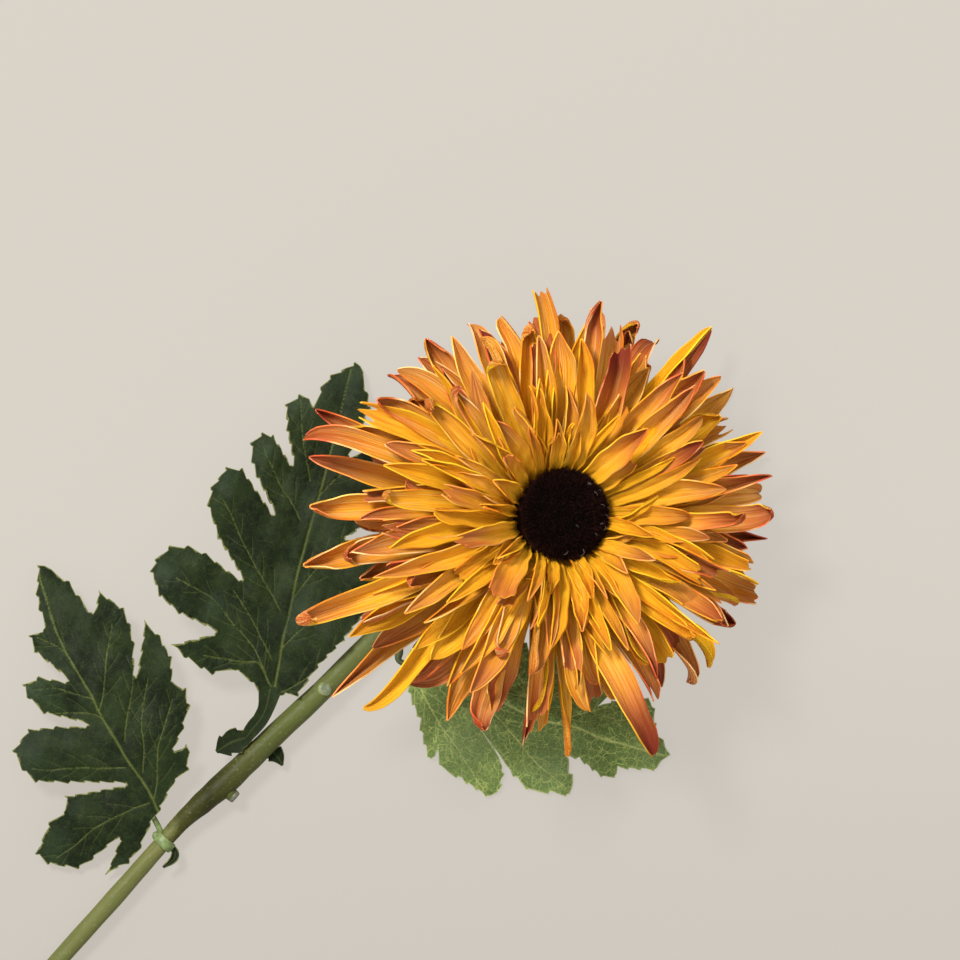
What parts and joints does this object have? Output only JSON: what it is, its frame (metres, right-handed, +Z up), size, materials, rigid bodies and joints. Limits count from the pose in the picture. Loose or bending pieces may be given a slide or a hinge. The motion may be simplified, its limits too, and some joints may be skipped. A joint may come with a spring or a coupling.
{
  "type": "chrysanthemum",
  "caption": "Orange chrysanthemum with a dark flocked centre on a cut green stem with lobed leaves, lying down with its bloom facing up.",
  "frame": {"origin": "middle of the flower's box, on the surface that it lies on", "axes": "+Z up from the surface, the bloom faces +Z; the stem runs off towards -X and -Y"},
  "size_m": [0.2088, 0.2032, 0.0617],
  "materials": {
    "petal_cloth": "matte printed cloth",
    "dark_flock": "matte flock",
    "dark_leaf_cloth": "matte printed cloth",
    "pale_leaf_cloth": "matte printed cloth",
    "calyx_plastic": "satin",
    "stem_plastic": "satin",
    "stalk_plastic": "satin",
    "collar_plastic": "satin"
  },
  "bodies": {
    "root": {"petals": "petal_cloth", "disc": "dark_flock", "calyx": "calyx_plastic", "stem": "stem_plastic", "lower_leaf": "dark_leaf_cloth", "middle_leaf": "dark_leaf_cloth", "upper_leaf": "pale_leaf_cloth", "lower_leaf_stalk": "collar_plastic", "middle_leaf_stalk": "stalk_plastic", "upper_leaf_stalk": "stalk_plastic"}
  },
  "joints": []
}
